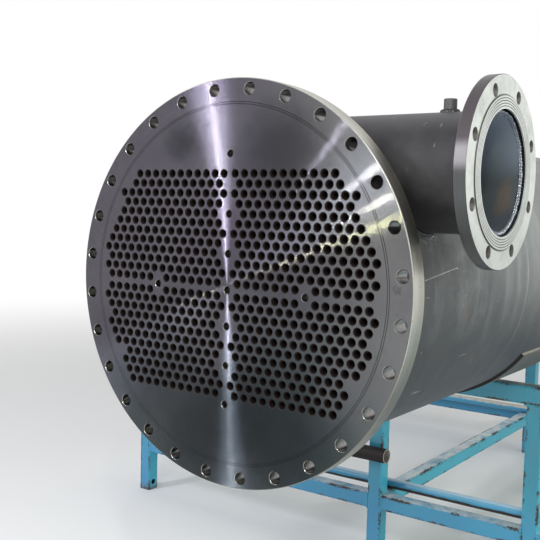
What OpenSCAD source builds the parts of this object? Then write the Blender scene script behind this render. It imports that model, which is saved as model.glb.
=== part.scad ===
// Shell and tube heat exchanger with fixed tubesheets, lying on a square-tube stand.
// X runs across, Y along the shell and Z up from the floor under the middle of the stand.

/* [Tubesheets] */
// Length over both tubesheet faces
vessel_len = 4000; // [3600:10:5000]
// Outside diameter of a tubesheet
sheet_d = 785; // [770:1:840]
// Thickness of a tubesheet
sheet_t = 42; // [30:1:60]
// Diameter of the tubesheet bolt circle
sheet_bolt_circle = 745; // [740:1:750]
// Bolt holes in a tubesheet
sheet_bolts = 28; // [20:4:32]
// Diameter of a tubesheet bolt hole
sheet_bolt_d = 24; // [18:1:26]

/* [Tubes] */
// Distance between tube centres
tube_pitch = 22; // [20:0.5:26]
// Outside diameter of a tube
tube_d = 16; // [12:0.5:17]
// Wall of a tube
tube_wall = 1.5; // [1:0.25:2.5]
// Diameter of a tube hole over the tube
hole_play = 0.25; // [0.1:0.05:0.5]
// Depth of a tube end behind the tubesheet face
tube_recess = 3; // [0:0.5:6]
// Gap between the two rows beside the pass lane
lane_gap = 25.5; // [22:0.5:34]
// Drop of the pass lane below the shell axis
lane_drop = 9.5; // [0:0.5:20]
// Distance of the first tube column from the middle
first_column = 13.2; // [11:0.1:16]
// Tube rows above the pass lane
rows_above = 12; // [8:1:12]
// Tube rows below the pass lane
rows_below = 11; // [7:1:12]
// Least gap between the tubes and the shell
bundle_gap = 3.7; // [2:0.1:12]
// Diameter of a tie rod hole
tie_d = 14.5; // [10:0.5:16]
// Diameter of a tie rod hole over the rod
tie_play = 0.3; // [0.1:0.1:1]
// Depth of a tie rod end behind the tubesheet face
tie_depth = 26; // [10:1:28]
// Least land between a tie rod hole and a tube hole
tie_land = 2; // [1:0.5:4]
// Sideways distance of the tie rods in the pass lane
tie_side = 178.2; // [120:0.1:220]

/* [Shell] */
// Outside diameter of the shell
shell_d = 696; // [680:1:704]
// Wall of the shell
shell_wall = 8; // [6:1:12]
// Leg of the weld between shell and tubesheet
shell_weld = 7; // [3:1:9]

/* [Nozzles] */
// Distance of a nozzle axis from the nearest tubesheet face
nozzle_from_end = 172; // [160:1:600]
// Height of a nozzle axis over the shell axis
nozzle_rise = 221; // [0:1:226]
// Distance of a nozzle face from the shell axis
nozzle_reach = 474; // [450:1:700]
// Outside diameter of a nozzle pipe
nozzle_d = 219; // [160:1:221]
// Wall of a nozzle pipe
nozzle_wall = 8; // [5:1:12]
// Outside diameter of a nozzle flange
flange_d = 340; // [335:1:342]
// Thickness of a nozzle flange with its raised face
flange_t = 24; // [18:1:40]
// Diameter of the raised face
raised_d = 268; // [250:1:270]
// Height of the raised face
raised_h = 2; // [1:0.5:5]
// Diameter of the flange bolt circle
flange_bolt_circle = 295; // [293:1:310]
// Bolt holes in a flange
flange_bolts = 8; // [4:4:12]
// Diameter of a flange bolt hole
flange_bolt_d = 22; // [14:1:23]
// Gap between a nozzle pipe and the bore of its flange
flange_play = 1.5; // [0.5:0.5:2]
// Set-back of the pipe end behind the raised face
pipe_setback = 10; // [6:1:16]
// Leg of the weld behind a flange
flange_weld = 8; // [3:1:10]
// Sealing grooves in the raised face
groove_count = 4; // [1:1:5]
// Depth of a sealing groove
groove_depth = 0.8; // [0.4:0.1:1.5]
// Set-back of the vent coupling behind the nozzle face
vent_setback = 107; // [60:1:115]
// Outside diameter of the vent coupling
vent_d = 24; // [20:1:36]
// Bore of the vent coupling
vent_bore = 15; // [8:1:16]
// Height of the vent coupling over the nozzle pipe
vent_h = 24; // [10:1:40]

/* [Wear pads] */
// Thickness of a wear pad
pad_t = 8; // [5:1:12]
// Length of a wear pad along the shell
pad_len = 400; // [200:10:600]
// Distance of a wear pad from the nearest tubesheet face
pad_from_end = 888; // [800:1:1000]
// Angle that a wear pad wraps round the shell
pad_wrap = 106; // [90:1:150]

/* [Stand] */
// Height of the stand over the floor
stand_h = 645; // [500:1:900]
// Distance between posts along a row
bay = 522; // [400:1:600]
// Distance of a row's axis from the nearest tubesheet face
row_from_end = 1225; // [1140:1:1240]
// Sideways place of the shell axis from the middle of the stand
vessel_x = 41; // [0:1:60]
// Side of a square tube
bar = 50; // [40:1:55]
// Wall of a square tube
bar_wall = 3; // [2:0.5:5]
// Outer corner radius of a square tube
bar_corner = 5; // [3:0.5:8]
// Depth of a top beam
beam_h = 56; // [50:1:80]
// Height of the lower rails' underside over the floor
rail_low = 158; // [100:1:240]
// Outside diameter of the round rails
round_rail_d = 34; // [25:1:40]
// Gap between a post and its round rail
round_rail_gap = 27; // [10:1:60]
// Wall of the round rails
round_rail_wall = 3; // [2:0.5:5]
// Outside diameter of the cross pipe
cross_pipe_d = 48; // [40:1:60]
// Wall of the cross pipe
cross_pipe_wall = 3.5; // [2:0.5:5]
// Height of the cross pipe's axis over the floor
cross_pipe_z = 352; // [320:1:420]
// Length of the cross pipe past its second post
cross_pipe_past = 577; // [540:1:600]
// Sideways distance of a stop from the shell axis
stop_x = 270; // [240:1:290]
// Gap between a stop and its wear pad
stop_gap = 0.3; // [0.2:0.1:0.8]
// Diameter of the drain hole at the foot of the first post
foot_hole_d = 22; // [6:1:30]
// Height of the drain hole over the floor
foot_hole_z = 30; // [20:1:80]

/* [Hidden] */
arc = $preview ? 48 : 96;
axis_z = stand_h + pad_t + shell_d / 2;
half_len = vessel_len / 2;
shell_r = shell_d / 2;
shell_ri = shell_r - shell_wall;
shell_len = vessel_len - 2 * sheet_t;
field_r = shell_ri - bundle_gap - tube_d / 2;
row_step = tube_pitch * sqrt(3) / 2;
tube_hole_d = tube_d + hole_play;
nozzle_y = half_len - nozzle_from_end;
nozzle_r = nozzle_d / 2;
nozzle_ri = nozzle_r - nozzle_wall;
flange_ri = nozzle_r + flange_play;
vent_x = nozzle_reach - vent_setback;
groove_land = (raised_d / 2 - flange_ri) / (groove_count + 1);
bays = 5;
row_y = half_len - row_from_end;
stand_half = bays * bay / 2;
pad_y = half_len - pad_from_end - pad_len / 2;
pad_r = shell_r + pad_t;
over = 1;

// Tube pattern on a triangular pitch, split by a pass lane and a middle lane
function row_z(side, k) = -lane_drop + side * (lane_gap / 2 + k * row_step);
function column_x(k, i) = first_column + (k % 2 == 0 ? tube_pitch / 2 : 0) + tube_pitch * i;
tie_rows = [[1, 13], [1, 7], [1, 3], [-1, 3], [-1, 7], [-1, 11]];
tie_spots = concat(
    [for (t = tie_rows) [0, row_z(t[0], t[1])]],
    [for (s = [-1, 0, 1]) [s * tie_side, -lane_drop]]
);
left_out = [[1, 8, 12], [-1, 7, 12]];
function clears_ties(p) = min([for (t = tie_spots) norm(p - t)]) > (tube_hole_d + tie_d) / 2 + tie_land;
function in_use(side, k, i) = len([for (s = left_out) if (s == [side, k, i]) s]) == 0;
function tube_spots(side, rows) = [
    for (k = [0:rows - 1]) for (i = [0:floor(field_r / tube_pitch)])
        let (p = [column_x(k, i), row_z(side, k)])
        if (norm(p) <= field_r && clears_ties(p) && in_use(side, k, i))
            for (flank = [-1, 1]) [flank * p[0], p[1]]
];
upper_spots = tube_spots(1, rows_above);
lower_spots = tube_spots(-1, rows_below);

// Places and directions
module on_axis() {
    translate([vessel_x, 0, axis_z]) children();
}

module rear_half() {
    mirror([0, 1, 0]) children();
}

// Extrudes a flat shape drawn in X and Z along Y, from y0 for a length
module along_y(y0, length) {
    translate([0, y0 + length, 0]) rotate([90, 0, 0]) linear_extrude(length) children();
}

// Turns a shape drawn round Z so that its axis points along X
module facing_x() {
    rotate([0, 90, 0]) children();
}

module ring(outer, inner) {
    difference() {
        circle(d = outer, $fn = arc);
        circle(d = inner, $fn = arc);
    }
}

module rounded_square(width, depth, radius) {
    square([width - 2 * radius, depth], center = true);
    square([width, depth - 2 * radius], center = true);
    for (x = [-1, 1]) for (y = [-1, 1])
        translate([x * (width / 2 - radius), y * (depth / 2 - radius)])
            circle(r = radius, $fn = 16);
}

module square_ring(width, depth) {
    difference() {
        rounded_square(width, depth, bar_corner);
        rounded_square(width - 2 * bar_wall, depth - 2 * bar_wall, max(bar_corner - bar_wall, 0.5));
    }
}

module holes_on_circle(count, circle_d, hole_d) {
    for (i = [0:count - 1])
        rotate(360 / count * (i + 0.5)) translate([0, circle_d / 2]) circle(d = hole_d, $fn = 32);
}

// Tubesheets, drilled for the tubes, the flange bolts and the tie rods
module tubesheet() {
    color("slategray") on_axis() along_y(-half_len, sheet_t) difference() {
        circle(d = sheet_d, $fn = arc);
        for (spot = upper_spots) translate(spot) circle(d = tube_hole_d, $fn = 24);
        for (spot = lower_spots) translate(spot) circle(d = tube_hole_d, $fn = 24);
        for (spot = tie_spots) translate(spot) circle(d = tie_d, $fn = 24);
        holes_on_circle(sheet_bolts, sheet_bolt_circle, sheet_bolt_d);
    }
}

module front_tubesheet() {
    tubesheet();
}

module rear_tubesheet() {
    rear_half() tubesheet();
}

module tubes(spots) {
    color("dimgray") on_axis() along_y(-half_len + tube_recess, vessel_len - 2 * tube_recess)
        for (spot = spots) translate(spot) difference() {
            circle(d = tube_d, $fn = 24);
            circle(d = tube_d - 2 * tube_wall, $fn = 24);
        }
}

module upper_tubes() {
    tubes(upper_spots);
}

module lower_tubes() {
    tubes(lower_spots);
}

// Tie rods, whose ends close their holes behind both tubesheet faces
module tie_rods() {
    color("dimgray") on_axis() along_y(-half_len + tie_depth, vessel_len - 2 * tie_depth)
        for (spot = tie_spots) translate(spot) circle(d = tie_d - tie_play, $fn = 24);
}

// Shell with its end welds and the two nozzle openings
module end_weld() {
    translate([0, -shell_len / 2, 0]) rotate([-90, 0, 0]) rotate_extrude($fn = arc)
        polygon([
            [shell_ri + shell_wall / 2, 0],
            [shell_r + shell_weld, 0],
            [shell_r, shell_weld],
            [shell_ri + shell_wall / 2, shell_weld]
        ]);
}

module shell() {
    color("dimgray") on_axis() difference() {
        union() {
            along_y(-shell_len / 2, shell_len) ring(shell_d, 2 * shell_ri);
            end_weld();
            rear_half() end_weld();
        }
        for (y = [-nozzle_y, nozzle_y]) translate([0, y, nozzle_rise])
            facing_x() cylinder(r = nozzle_r, h = shell_r + over, $fn = arc);
    }
}

// Hillside nozzles, which leave the shell level and well above its axis
module at_nozzle() {
    on_axis() translate([0, -nozzle_y, nozzle_rise]) children();
}

module nozzle_pipe() {
    pipe_end = nozzle_reach - pipe_setback;
    flange_back = nozzle_reach - flange_t;
    color("dimgray") difference() {
        at_nozzle() facing_x() rotate_extrude($fn = arc) polygon([
            [nozzle_ri, 0],
            [nozzle_r, 0],
            [nozzle_r, flange_back - flange_weld],
            [nozzle_r + flange_weld, flange_back],
            [nozzle_r, flange_back],
            [nozzle_r, pipe_end],
            [flange_ri, pipe_end],
            [flange_ri, pipe_end + pipe_setback / 2],
            [nozzle_r - nozzle_wall / 2, pipe_end + pipe_setback / 4],
            [nozzle_ri + nozzle_wall / 4, pipe_end],
            [nozzle_ri, pipe_end]
        ]);
        on_axis() along_y(-half_len, half_len) circle(r = shell_ri, $fn = arc);
        at_nozzle() translate([vent_x, 0, 0]) cylinder(d = vent_bore, h = nozzle_r + over, $fn = 32);
    }
}

module nozzle_flange() {
    color("silver") at_nozzle() facing_x() difference() {
        union() {
            translate([0, 0, nozzle_reach - flange_t]) linear_extrude(flange_t - raised_h)
                difference() {
                    ring(flange_d, 2 * flange_ri);
                    holes_on_circle(flange_bolts, flange_bolt_circle, flange_bolt_d);
                }
            translate([0, 0, nozzle_reach - raised_h - over]) linear_extrude(raised_h + over)
                ring(raised_d, 2 * flange_ri);
        }
        for (i = [1:groove_count]) translate([0, 0, nozzle_reach]) rotate_extrude($fn = arc)
            translate([flange_ri + i * groove_land, 0]) polygon([
                [-groove_depth, over / 10], [0, -groove_depth], [groove_depth, over / 10]
            ]);
    }
}

module vent_coupling() {
    color("dimgray") at_nozzle() difference() {
        translate([vent_x, 0, 0]) cylinder(d = vent_d, h = nozzle_r + vent_h, $fn = 48);
        facing_x() cylinder(r = nozzle_r, h = nozzle_reach, $fn = arc);
        translate([vent_x, 0, 0]) cylinder(d = vent_bore, h = nozzle_r + vent_h + over, $fn = 32);
    }
}

module inlet_pipe() {
    nozzle_pipe();
}

module inlet_flange() {
    nozzle_flange();
}

module inlet_vent() {
    vent_coupling();
}

module outlet_pipe() {
    rear_half() nozzle_pipe();
}

module outlet_flange() {
    rear_half() nozzle_flange();
}

module outlet_vent() {
    rear_half() vent_coupling();
}

// Wear pads, rolled to the shell where the stand carries it
module wear_pad() {
    start = 270 - pad_wrap / 2;
    span = pad_wrap / 2;
    reach = 2 * pad_r;
    color("slategray") on_axis() along_y(-pad_y - pad_len / 2, pad_len) intersection() {
        ring(2 * pad_r, shell_d);
        polygon([
            [0, 0],
            reach * [cos(start), sin(start)],
            reach * [cos(start + span), sin(start + span)],
            reach * [cos(start + 2 * span), sin(start + 2 * span)]
        ]);
    }
}

module front_wear_pad() {
    wear_pad();
}

module rear_wear_pad() {
    rear_half() wear_pad();
}

// Stand of two rows of posts, tied by rails; posts 2 and 5 stand on the rails
function post_x(i) = (i - 1) * bay - stand_half;

module post(i) {
    foot_z = i == 2 || i == 5 ? rail_low + bar : 0;
    color("steelblue") translate([post_x(i), -row_y, 0]) difference() {
        translate([0, 0, foot_z]) linear_extrude(stand_h - beam_h - foot_z) square_ring(bar, bar);
        if (i == 1) translate([0, 0, foot_hole_z]) facing_x()
            cylinder(d = foot_hole_d, h = bar, $fn = 32);
    }
}

module lower_rails() {
    color("steelblue") for (span = [[1, 3], [3, 4], [4, 6]])
        translate([post_x(span[0]) + bar / 2, -row_y, rail_low + bar / 2])
            facing_x() linear_extrude((span[1] - span[0]) * bay - bar) square_ring(bar, bar);
}

module top_beam() {
    color("steelblue") translate([-stand_half - bar / 2, -row_y, stand_h - beam_h / 2])
        facing_x() linear_extrude(2 * stand_half + bar) square_ring(beam_h, bar);
}

module long_rail(i) {
    color("steelblue") translate([post_x(i), 0, rail_low + bar / 2])
        along_y(-row_y + bar / 2, 2 * row_y - bar) square_ring(bar, bar);
}

module round_rail() {
    y = -row_y + bar / 2 + round_rail_gap + round_rail_d / 2;
    color("steelblue") translate([-stand_half - bar / 2, y, rail_low + bar + round_rail_d / 2])
        facing_x() linear_extrude(2 * stand_half + bar)
            ring(round_rail_d, round_rail_d - 2 * round_rail_wall);
}

module cross_pipe() {
    color("saddlebrown")
        translate([-stand_half - bar / 2, -row_y - bar / 2 - cross_pipe_d / 2, cross_pipe_z])
            facing_x() linear_extrude(bay + cross_pipe_past + bar / 2)
                ring(cross_pipe_d, cross_pipe_d - 2 * cross_pipe_wall);
}

// Stop under the shell's flank, cut square just below the wear pad
module stop(side) {
    inner_x = stop_x - bar / 2;
    pad_drop = sqrt(pad_r * pad_r - inner_x * inner_x);
    color("steelblue") translate([vessel_x + side * stop_x, -row_y, stand_h])
        linear_extrude(pad_r - pad_drop - stop_gap) square_ring(bar, bar);
}

module front_lower_rails() {
    lower_rails();
}

module rear_lower_rails() {
    rear_half() lower_rails();
}

module front_top_beam() {
    top_beam();
}

module rear_top_beam() {
    rear_half() top_beam();
}

module front_round_rail() {
    round_rail();
}

module rear_round_rail() {
    rear_half() round_rail();
}

module front_left_stop() {
    stop(-1);
}

module front_right_stop() {
    stop(1);
}

module rear_left_stop() {
    rear_half() stop(-1);
}

module rear_right_stop() {
    rear_half() stop(1);
}

front_tubesheet();
rear_tubesheet();
shell();
upper_tubes();
lower_tubes();
tie_rods();
inlet_pipe();
inlet_flange();
inlet_vent();
outlet_pipe();
outlet_flange();
outlet_vent();
front_wear_pad();
rear_wear_pad();
post(1);  // front_post_1
post(2);  // front_post_2
post(3);  // front_post_3
post(4);  // front_post_4
post(5);  // front_post_5
post(6);  // front_post_6
rear_half() post(1);  // rear_post_1
rear_half() post(2);  // rear_post_2
rear_half() post(3);  // rear_post_3
rear_half() post(4);  // rear_post_4
rear_half() post(5);  // rear_post_5
rear_half() post(6);  // rear_post_6
front_lower_rails();
rear_lower_rails();
front_top_beam();
rear_top_beam();
long_rail(1);  // long_rail_1
long_rail(3);  // long_rail_3
long_rail(4);  // long_rail_4
long_rail(6);  // long_rail_6
front_round_rail();
rear_round_rail();
cross_pipe();
front_left_stop();
front_right_stop();
rear_left_stop();
rear_right_stop();
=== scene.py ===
"""Dresses the heat exchanger and its stand: turned faces, weld beads, mill scale and chipped paint."""
import math

import bpy
import bmesh
from bpy.types import Material
from mathutils import Matrix, Vector


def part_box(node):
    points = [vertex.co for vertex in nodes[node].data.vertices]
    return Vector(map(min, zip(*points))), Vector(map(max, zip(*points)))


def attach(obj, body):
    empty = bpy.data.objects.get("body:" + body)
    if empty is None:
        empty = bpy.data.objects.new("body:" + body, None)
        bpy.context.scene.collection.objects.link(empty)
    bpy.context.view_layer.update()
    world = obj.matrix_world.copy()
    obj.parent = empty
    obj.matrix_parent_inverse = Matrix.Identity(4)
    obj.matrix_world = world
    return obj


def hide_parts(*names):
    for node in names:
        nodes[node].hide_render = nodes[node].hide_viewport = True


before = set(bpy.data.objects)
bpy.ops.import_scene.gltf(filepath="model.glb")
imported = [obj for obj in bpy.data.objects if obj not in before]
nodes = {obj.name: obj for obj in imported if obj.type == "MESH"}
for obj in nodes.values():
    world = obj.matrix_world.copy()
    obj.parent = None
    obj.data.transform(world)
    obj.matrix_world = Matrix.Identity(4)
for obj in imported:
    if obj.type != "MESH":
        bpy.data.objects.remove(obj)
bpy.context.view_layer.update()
root = "root"

# Places read from the frame, in metres
front_low, front_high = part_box("front_tubesheet")
axis_x = (front_low.x + front_high.x) / 2
axis_z = (front_low.z + front_high.z) / 2
front_y = front_low.y
rear_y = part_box("rear_tubesheet")[1].y
sheet_t = front_high.y - front_low.y
inlet_low, inlet_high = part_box("inlet_flange")
nozzle_y = (inlet_low.y + inlet_high.y) / 2
nozzle_z = (inlet_low.z + inlet_high.z) / 2
nozzle_face_x = inlet_high.x
nozzle_rows = (nozzle_y, -nozzle_y)

# Tubesheet and its drilling, in metres
sheet_r = 0.3925
rim_bevel = 0.0015
hole_bevel = 0.0008
bolt_circle_r = 0.3725
bolt_count = 28
bolt_hole_r = 0.012
tube_hole_r = 0.008125
tie_hole_r = 0.00725
tube_pitch = 0.022
row_step = tube_pitch * math.sqrt(3) / 2
lane_gap = 0.0255
lane_drop = 0.0095
first_column = 0.0132
rows_above = 12
rows_below = 11
field_r = 0.3283
tie_side = 0.1782
tie_land = 0.0174
scribe_r = (0.3436, 0.3476)
# Side of the pass lane and row of each tie rod over the middle
tie_rows = ((1, 13), (1, 7), (1, 3), (-1, 3), (-1, 7), (-1, 11))
# Side, row and column of the tubes that are left out
left_out = ((1, 8, 12), (-1, 7, 12))

# Shell, tubes and nozzles, in metres
shell_r = 0.348
shell_wall = 0.008
seam_y = 1.3
tube_r = 0.008
tube_wall = 0.0015
tube_recess = 0.003
nozzle_r = 0.1095
nozzle_wall = 0.008
pipe_setback = 0.01
vent_setback = 0.107
vent_r = 0.012
vent_bore_r = 0.0075
vent_h = 0.024
vent_bevel = 0.001
weld_lift = 0.002
vent_weld_lift = 0.001
sheet_weld_gap = 0.003
mouth_weld_gap = 0.001
mouth_weld_inset = 0.003
shell_sides = 180
nozzle_sides = 96
flange_sides = 128

# Flanges, in metres
flange_r = 0.17
flange_t = 0.024
flange_bevel = 0.0012
flange_bore_r = 0.111
flange_circle_r = 0.1475
flange_bolts = 8
flange_hole_r = 0.011
raised_r = 0.134
raised_h = 0.002
raised_bevel = 0.0004
raised_root = 0.001
groove_count = 4
groove_depth = 0.0008
groove_land = (raised_r - flange_bore_r) / (groove_count + 1)

# Wear pads and stand, in metres and degrees
pad_t = 0.008
pad_wrap = 106
pad_bevel = 0.0015
bar_wall = 0.003
corner_r = 0.005
corner_steps = 4
wear_width = 0.006
foot_hole_r = 0.011
foot_hole_z = 0.03
round_wall = 0.003
floor_level = 0.01

# Solids that cut others, in metres: how long they are, and the hole down their middle
cutter_length = 0.8
pinhole_r = 0.0001

# Largest angles between faces that are still shaded as one surface
crease = math.radians(28)
bar_crease = math.radians(40)

# Turns of a mesh drawn round Z, which point its axis to the front, the rear or the nozzles' side
to_front = Matrix(((1, 0, 0), (0, 0, -1), (0, 1, 0)))
to_rear = Matrix(((-1, 0, 0), (0, 0, 1), (0, 1, 0)))
to_side = Matrix(((0, 0, 1), (1, 0, 0), (0, 1, 0)))
upright = Matrix.Identity(3)

# Camera of the photograph, from its tubesheet: place, turn, and lens on a 36 mm sensor
camera_offset = Vector((1.0067, -1.2778, 0.1505))
camera_azimuth = math.radians(35.10)
camera_drop = math.radians(4.23)
camera_roll = math.radians(1.57)
camera_lens = 56.8
camera_shift = (-0.007, 0.0013)

# Lathe marks on the tubesheets: their pitch in metres and how far they lean
lathe_pitch = 0.0002
lathe_lean = 0.75


def link(name, data):
    made = bpy.data.objects.new(name, data)
    bpy.context.scene.collection.objects.link(made)
    return made


def add_camera():
    """Stands the camera where the photograph was taken from."""
    data = bpy.data.cameras.new("photo_camera")
    data.sensor_width = 36
    data.lens = camera_lens
    data.shift_x, data.shift_y = camera_shift
    data.clip_start = 0.05
    data.clip_end = 200
    camera = link("photo_camera", data)
    tilt = Matrix.Rotation(math.pi / 2 - camera_drop, 4, "X") @ Matrix.Rotation(camera_roll, 4, "Z")
    turn = Matrix.Rotation(camera_azimuth, 4, "Z") @ tilt
    face_centre = Vector((axis_x, front_y, axis_z))
    camera.matrix_world = Matrix.Translation(face_centre + camera_offset) @ turn
    bpy.context.scene.camera = camera


def add_lamp(name, place, aim, size, power, colour, roll=0):
    """An area lamp at a place, turned to a point and rolled round its own axis by some degrees."""
    data = bpy.data.lights.new(name, "AREA")
    data.shape = "RECTANGLE"
    data.size, data.size_y = size
    data.energy = power
    data.color = colour
    lamp = link(name, data)
    lamp.location = place
    turn = (aim - place).to_track_quat("-Z", "Y").to_matrix()
    lamp.rotation_euler = (turn @ Matrix.Rotation(math.radians(roll), 3, "Z")).to_euler()


def operator(operation, swapped=False):
    """A method that adds one Math node."""
    def method(self, other):
        first, second = (other, self) if swapped else (self, other)
        return self.graph.math(operation, first, second)
    return method


class Term:
    """An output of a node that takes part in sums, products, powers and comparisons."""

    __add__ = __radd__ = operator("ADD")
    __sub__ = operator("SUBTRACT")
    __rsub__ = operator("SUBTRACT", swapped=True)
    __mul__ = __rmul__ = operator("MULTIPLY")
    __truediv__ = operator("DIVIDE")
    __pow__ = operator("POWER")
    __gt__ = operator("GREATER_THAN")
    __lt__ = operator("LESS_THAN")

    def __init__(self, graph, socket):
        self.graph = graph
        self.socket = socket

    def __abs__(self):
        return self.graph.math("ABSOLUTE", self)

    def sibling(self, name):
        """Another output of the same node."""
        return Term(self.graph, self.socket.node.outputs[name])

    def between(self, low, high):
        """0 at low, 1 at high and smooth between them, whichever is larger."""
        sockets = {"Value": self, "From Min": low, "From Max": high}
        return self.graph.node("ShaderNodeMapRange", {"interpolation_type": "SMOOTHSTEP"}, sockets)


class Graph:
    """A node tree: one method adds any node, and the others add the common ones."""

    def __init__(self, tree):
        self.tree = tree

    def plug(self, socket, value):
        """Links a term, or several, to a socket, or sets the socket's value."""
        for term in value if isinstance(value, list) else [value]:
            if isinstance(term, Term):
                self.tree.links.new(term.socket, socket)
            elif term is not None:
                socket.default_value = term

    def node(self, kind, settings=None, sockets=None, output=0):
        """Adds a node of any kind: its settings are set first, then its sockets."""
        made = self.tree.nodes.new(kind)
        for name, value in (settings or {}).items():
            setattr(made, name, value)
        for name, value in (sockets or {}).items():
            self.plug(made.inputs[name], value)
        return Term(self, made.outputs[output])

    def math(self, operation, first, second=None):
        return self.node("ShaderNodeMath", {"operation": operation}, {0: first, 1: second})

    def vector(self, operation, first, second=None, output=0):
        settings = {"operation": operation}
        return self.node("ShaderNodeVectorMath", settings, {0: first, 1: second}, output)

    def scaled(self, vector, factor):
        settings = {"operation": "SCALE"}
        return self.node("ShaderNodeVectorMath", settings, {0: vector, "Scale": factor})

    def length(self, vector):
        return self.vector("LENGTH", vector, None, "Value")

    def joined(self, x, y, z):
        return self.node("ShaderNodeCombineXYZ", {}, {"X": x, "Y": y, "Z": z})

    def parts(self, vector):
        split = self.node("ShaderNodeSeparateXYZ", {}, {0: vector})
        return [split.sibling(axis) for axis in "XYZ"]

    def noise(self, place, size, detail=3, rough=0.55, stretch=None):
        """Smooth noise from 0 to 1, whose blobs measure size metres."""
        where = place if stretch is None else self.vector("MULTIPLY", place, stretch)
        sockets = {"Vector": where, "Scale": 1 / size, "Detail": detail, "Roughness": rough}
        return self.node("ShaderNodeTexNoise", {"noise_dimensions": "3D"}, sockets)


class Finish(Graph):
    """A material whose patterns stand still on the object, built up in layers of colour."""

    def __init__(self, name, colour, metallic, roughness, specular=0.5):
        self.material = bpy.data.materials.new(name)
        self.material.use_nodes = True
        super().__init__(self.material.node_tree)
        self.shader = self.tree.nodes["Principled BSDF"]
        self.feed(Metallic=metallic, Roughness=roughness, Specular_IOR_Level=specular)
        self.colour = (*colour, 1)
        self.place = self.node("ShaderNodeTexCoord", {}, {}, "Object")
        self.across, self.along, self.up = self.parts(self.place)

    def blobs(self, size, detail=3, rough=0.55, stretch=None):
        return self.noise(self.place, size, detail, rough, stretch)

    def lines(self, value, size):
        """Noise along one value, so that it draws lines size metres apart."""
        sockets = {"W": value, "Scale": 1 / size, "Detail": 2, "Roughness": 0.6}
        return self.node("ShaderNodeTexNoise", {"noise_dimensions": "1D"}, sockets)

    def mix(self, factor, first, second):
        """The first colour where the factor is 0, the second where it is 1."""
        first, second = [(*c[:3], 1) if isinstance(c, tuple) else c for c in (first, second)]
        return self.node("ShaderNodeMix", {"data_type": "RGBA"}, {0: factor, 6: first, 7: second}, 2)

    def cover(self, factor, colour):
        """Lays a colour over the ones below where the factor says so."""
        self.colour = self.mix(factor, self.colour, colour)

    def bump(self, height, depth):
        return self.node("ShaderNodeBump", {}, {"Height": height, "Distance": depth})

    def attribute(self, name):
        return self.node("ShaderNodeAttribute", {"attribute_name": name}, {}, "Fac")

    def normal(self):
        return self.node("ShaderNodeNewGeometry", {}, {}, "Normal")

    def round_axis(self, x, z):
        """Distance from an axis along the vessel and the direction away from it."""
        away = self.vector("MULTIPLY", self.vector("SUBTRACT", self.place, (x, 0, z)), (1, 0, 1))
        return self.length(away), self.vector("NORMALIZE", away)

    def round_nozzle(self):
        """Place along the vessel, height and distance, all from the nearer nozzle's axis."""
        side = abs(self.along) - abs(nozzle_y)
        rise = self.up - nozzle_z
        return side, rise, (side ** 2 + rise ** 2) ** 0.5

    def scratch(self, start, end, width):
        """1 on the line between two points and 0 away from it."""
        start = Vector(start)
        run = Vector(end) - start
        reach = self.vector("SUBTRACT", self.place, start)
        share = self.vector("DOT_PRODUCT", reach, run / run.length_squared, "Value")
        share = self.math("MINIMUM", self.math("MAXIMUM", share, 0), 1)
        gap = self.length(self.vector("SUBTRACT", reach, self.scaled(run, share)))
        return 1 - (gap + self.blobs(0.01) * width).between(width * 0.6, width * 1.4)

    def feed(self, **terms):
        """Plugs terms into the shader's sockets, whose names have underscores for spaces."""
        for name, term in terms.items():
            self.plug(self.shader.inputs[name.replace("_", " ")], term)

    def done(self, **terms):
        """The material, with its colour and these terms plugged in."""
        self.feed(Base_Color=self.colour, **terms)
        return self.material


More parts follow.
